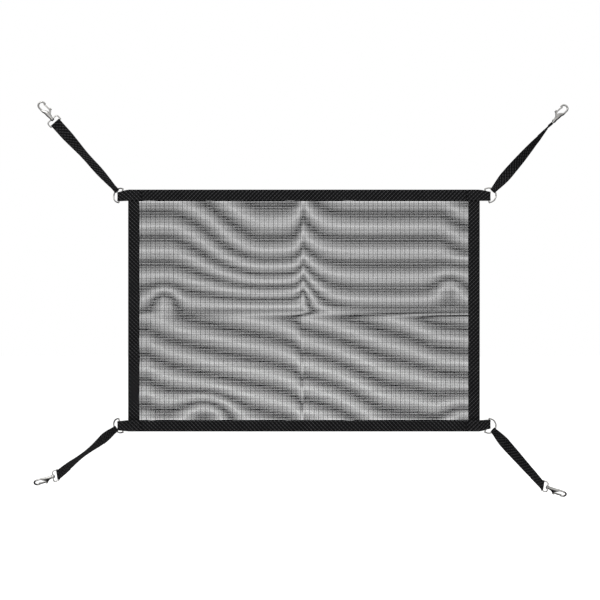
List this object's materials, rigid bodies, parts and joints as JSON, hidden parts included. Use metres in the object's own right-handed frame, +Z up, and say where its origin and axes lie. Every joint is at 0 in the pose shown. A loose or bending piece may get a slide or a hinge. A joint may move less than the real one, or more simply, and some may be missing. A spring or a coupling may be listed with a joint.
{
  "type": "hay net",
  "caption": "Rectangular black mesh hay net with a webbing binding and a diagonal strap with a swivel trigger snap at each corner.",
  "frame": {"origin": "centre of the mesh panel, half way through its thickness", "axes": "+X to the net's right along the long side, +Z up along the short side, -Y out of the panel's front"},
  "size_m": [1.256, 0.1192, 0.9205],
  "materials": {
    "mesh": "black polyester open mesh",
    "webbing": "black woven polypropylene webbing",
    "thread": "black bonded nylon thread",
    "nickel_wire": "bright nickel-plated steel wire",
    "nickel_casting": "bright nickel-plated zinc casting",
    "steel": "bare spring and pin steel"
  },
  "bodies": {
    "net": {"mesh_ply_front": "mesh", "mesh_ply_back": "mesh", "binding_top": "webbing", "binding_bottom": "webbing", "binding_left": "webbing", "binding_right": "webbing", "binding_stitches": "thread", "tab_stitches": "thread", "corner_tab_top_left": "webbing", "corner_tab_top_right": "webbing", "corner_tab_bottom_left": "webbing", "corner_tab_bottom_right": "webbing"},
    "ring_top_left": {"d_ring_top_left": "nickel_wire"},
    "webbing_top_left": {"strap_top_left": "webbing", "strap_stitches_top_left": "thread"},
    "eye_top_left": {"snap_eye_top_left": "nickel_casting"},
    "hook_top_left": {"snap_hook_top_left": "nickel_casting", "swivel_rivet_top_left": "steel", "gate_pin_top_left": "steel", "gate_spring_top_left": "steel"},
    "gate_top_left": {"snap_gate_top_left": "nickel_casting"},
    "ring_top_right": {"d_ring_top_right": "nickel_wire"},
    "webbing_top_right": {"strap_top_right": "webbing", "strap_stitches_top_right": "thread"},
    "eye_top_right": {"snap_eye_top_right": "nickel_casting"},
    "hook_top_right": {"snap_hook_top_right": "nickel_casting", "swivel_rivet_top_right": "steel", "gate_pin_top_right": "steel", "gate_spring_top_right": "steel"},
    "gate_top_right": {"snap_gate_top_right": "nickel_casting"},
    "ring_bottom_left": {"d_ring_bottom_left": "nickel_wire"},
    "webbing_bottom_left": {"strap_bottom_left": "webbing", "strap_stitches_bottom_left": "thread"},
    "eye_bottom_left": {"snap_eye_bottom_left": "nickel_casting"},
    "hook_bottom_left": {"snap_hook_bottom_left": "nickel_casting", "swivel_rivet_bottom_left": "steel", "gate_pin_bottom_left": "steel", "gate_spring_bottom_left": "steel"},
    "gate_bottom_left": {"snap_gate_bottom_left": "nickel_casting"},
    "ring_bottom_right": {"d_ring_bottom_right": "nickel_wire"},
    "webbing_bottom_right": {"strap_bottom_right": "webbing", "strap_stitches_bottom_right": "thread"},
    "eye_bottom_right": {"snap_eye_bottom_right": "nickel_casting"},
    "hook_bottom_right": {"snap_hook_bottom_right": "nickel_casting", "swivel_rivet_bottom_right": "steel", "gate_pin_bottom_right": "steel", "gate_spring_bottom_right": "steel"},
    "gate_bottom_right": {"snap_gate_bottom_right": "nickel_casting"}
  },
  "joints": [
    {"name": "ring_swing_top_left", "type": "hinge", "parent": "net", "child": "ring_top_left", "pos_m": [-0.4172, 0, 0.2615], "axis": [-0.309, 0, -0.9511], "range_deg": [-125, 55]},
    {"name": "strap_swing_top_left", "type": "hinge", "parent": "ring_top_left", "child": "webbing_top_left", "pos_m": [-0.42875, 0.01054, 0.27469], "axis": [-0.6906, 0.3195, -0.6488], "range_deg": [-55, 55]},
    {"name": "eye_fold_top_left", "type": "hinge", "parent": "webbing_top_left", "child": "eye_top_left", "pos_m": [-0.56961, 0.02153, 0.43005], "axis": [0.7408, 0, 0.6717], "range_deg": [-103, 97]},
    {"name": "snap_swivel_top_left", "type": "hinge", "parent": "eye_top_left", "child": "hook_top_left", "pos_m": [-0.57942, 0.02153, 0.44086], "axis": [-0.6717, 0, 0.7408], "continuous": true},
    {"name": "gate_press_top_left", "type": "hinge", "parent": "hook_top_left", "child": "gate_top_left", "pos_m": [-0.58295, 0.02153, 0.44981], "axis": [0, -1, 0], "range_deg": [0, 18], "stiffness_Nm_per_rad": 0.05, "springref_deg": -20.05},
    {"name": "ring_swing_top_right", "type": "hinge", "parent": "net", "child": "ring_top_right", "pos_m": [0.4172, 0, 0.2615], "axis": [-0.309, 0, 0.9511], "range_deg": [-100, 80]},
    {"name": "strap_swing_top_right", "type": "hinge", "parent": "ring_top_right", "child": "webbing_top_right", "pos_m": [0.4323, 0.00325, 0.2747], "axis": [-0.7348, -0.0866, 0.6728], "range_deg": [-55, 55]},
    {"name": "eye_fold_top_right", "type": "hinge", "parent": "webbing_top_right", "child": "eye_top_right", "pos_m": [0.56961, 0.03972, 0.42936], "axis": [0.1153, -0.9848, 0.1299], "range_deg": [-96.6, 103.4]},
    {"name": "snap_swivel_top_right", "type": "hinge", "parent": "eye_top_right", "child": "hook_top_right", "pos_m": [0.57978, 0.04225, 0.43951], "axis": [0.697, 0.1733, 0.6958], "continuous": true},
    {"name": "gate_press_top_right", "type": "hinge", "parent": "hook_top_right", "child": "gate_top_right", "pos_m": [0.58365, 0.04383, 0.44818], "axis": [-0.1173, 0.9848, -0.1278], "range_deg": [0, 18], "stiffness_Nm_per_rad": 0.05, "springref_deg": -20.05},
    {"name": "ring_swing_bottom_left", "type": "hinge", "parent": "net", "child": "ring_bottom_left", "pos_m": [-0.4172, 0, -0.2615], "axis": [0.309, 0, -0.9511], "range_deg": [-125, 55]},
    {"name": "strap_swing_bottom_left", "type": "hinge", "parent": "ring_bottom_left", "child": "webbing_bottom_left", "pos_m": [-0.43127, 0.01149, -0.2713], "axis": [0.5382, -0.1803, -0.8233], "range_deg": [-55, 55]},
    {"name": "eye_fold_bottom_left", "type": "hinge", "parent": "webbing_bottom_left", "child": "eye_bottom_left", "pos_m": [-0.57939, 0.10355, -0.38828], "axis": [0.2431, -0.5886, -0.771], "range_deg": [-67.2, 132.8]},
    {"name": "snap_swivel_bottom_left", "type": "hinge", "parent": "eye_bottom_left", "child": "hook_bottom_left", "pos_m": [-0.59332, 0.10355, -0.39267], "axis": [-0.9537, 0, -0.3007], "continuous": true},
    {"name": "gate_press_bottom_left", "type": "hinge", "parent": "hook_bottom_left", "child": "gate_bottom_left", "pos_m": [-0.60117, 0.10593, -0.3977], "axis": [-0.2104, 0.7144, 0.6674], "range_deg": [0, 18], "stiffness_Nm_per_rad": 0.05, "springref_deg": -20.05},
    {"name": "ring_swing_bottom_right", "type": "hinge", "parent": "net", "child": "ring_bottom_right", "pos_m": [0.4172, 0, -0.2615], "axis": [0.309, 0, 0.9511], "range_deg": [-102, 78]},
    {"name": "strap_swing_bottom_right", "type": "hinge", "parent": "ring_bottom_right", "child": "webbing_bottom_right", "pos_m": [0.43278, 0.00398, -0.27409], "axis": [0.6961, 0.094, 0.7118], "range_deg": [-55, 55]},
    {"name": "eye_fold_bottom_right", "type": "hinge", "parent": "webbing_bottom_right", "child": "eye_bottom_right", "pos_m": [0.5615, 0.09603, -0.41213], "axis": [-0.2503, -0.6813, -0.6878], "range_deg": [-136.8, 63.2]},
    {"name": "snap_swivel_bottom_right", "type": "hinge", "parent": "eye_bottom_right", "child": "hook_bottom_right", "pos_m": [0.57522, 0.09603, -0.41712], "axis": [0.9397, 0, -0.342], "continuous": true},
    {"name": "gate_press_bottom_right", "type": "hinge", "parent": "hook_bottom_right", "child": "gate_bottom_right", "pos_m": [0.58285, 0.09842, -0.42248], "axis": [-0.2398, -0.7129, -0.659], "range_deg": [0, 18], "stiffness_Nm_per_rad": 0.05, "springref_deg": -20.05}
  ]
}
